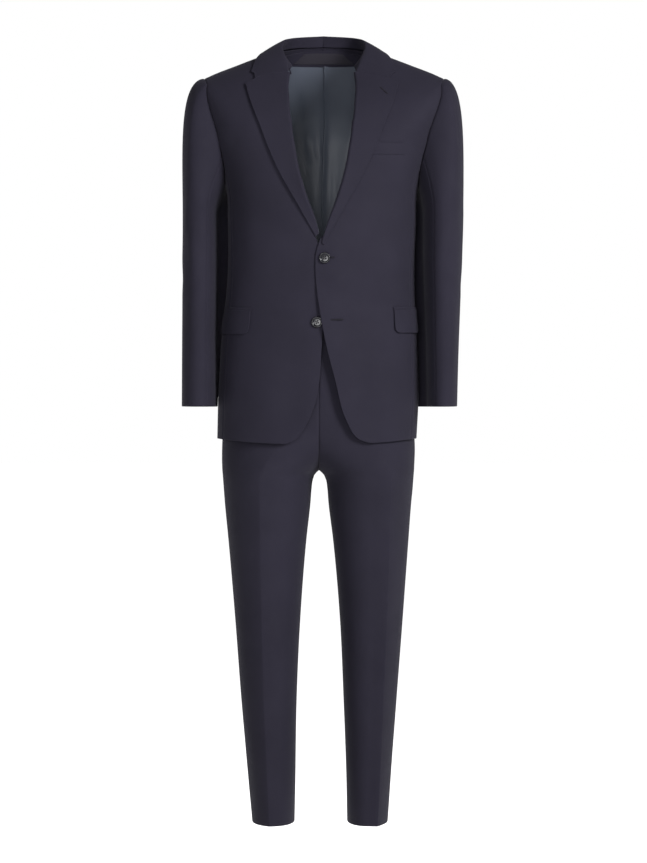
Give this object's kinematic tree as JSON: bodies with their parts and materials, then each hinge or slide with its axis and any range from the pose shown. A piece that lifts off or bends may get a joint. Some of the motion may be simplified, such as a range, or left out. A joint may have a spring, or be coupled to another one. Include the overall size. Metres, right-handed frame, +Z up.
{
  "type": "two-piece suit",
  "caption": "Dark two-piece suit filled out as if worn: buttoned single-breasted jacket with notch lapels, flap pockets and breast welt, over flat-fronted creased trousers.",
  "frame": {"origin": "the mount wearer_neck: middle of the neck at shoulder height, where a wearer or a hanger carries the suit", "axes": "+Z up along the suit's height, the front faces -Y, +X towards the wearer's left"},
  "size_m": [0.5471, 0.275, 1.543],
  "materials": {
    "suiting": "matt",
    "lining": "satin",
    "button": "gloss"
  },
  "bodies": {
    "root": {"back_lining_left": "lining", "back_lining_right": "lining", "breast_welt": "suiting", "collar_fall": "suiting", "collar_stand": "suiting", "flap_left": "suiting", "flap_right": "suiting", "jacket_back_left": "suiting", "jacket_back_right": "suiting", "jacket_front_left": "suiting", "jacket_front_right": "suiting", "jacket_side_left": "suiting", "jacket_side_right": "suiting", "jetting_left": "suiting", "jetting_right": "suiting", "lapel_left": "suiting", "lapel_right": "suiting", "lower_button": "button", "neck_facing": "suiting", "neck_label": "lining", "top_button": "button", "top_sleeve_left": "suiting", "top_sleeve_right": "suiting", "trouser_back_left": "suiting", "trouser_back_right": "suiting", "trouser_front_left": "suiting", "trouser_front_right": "suiting", "under_sleeve_left": "suiting", "under_sleeve_right": "suiting", "waistband_left": "suiting", "waistband_right": "suiting"}
  },
  "joints": []
}
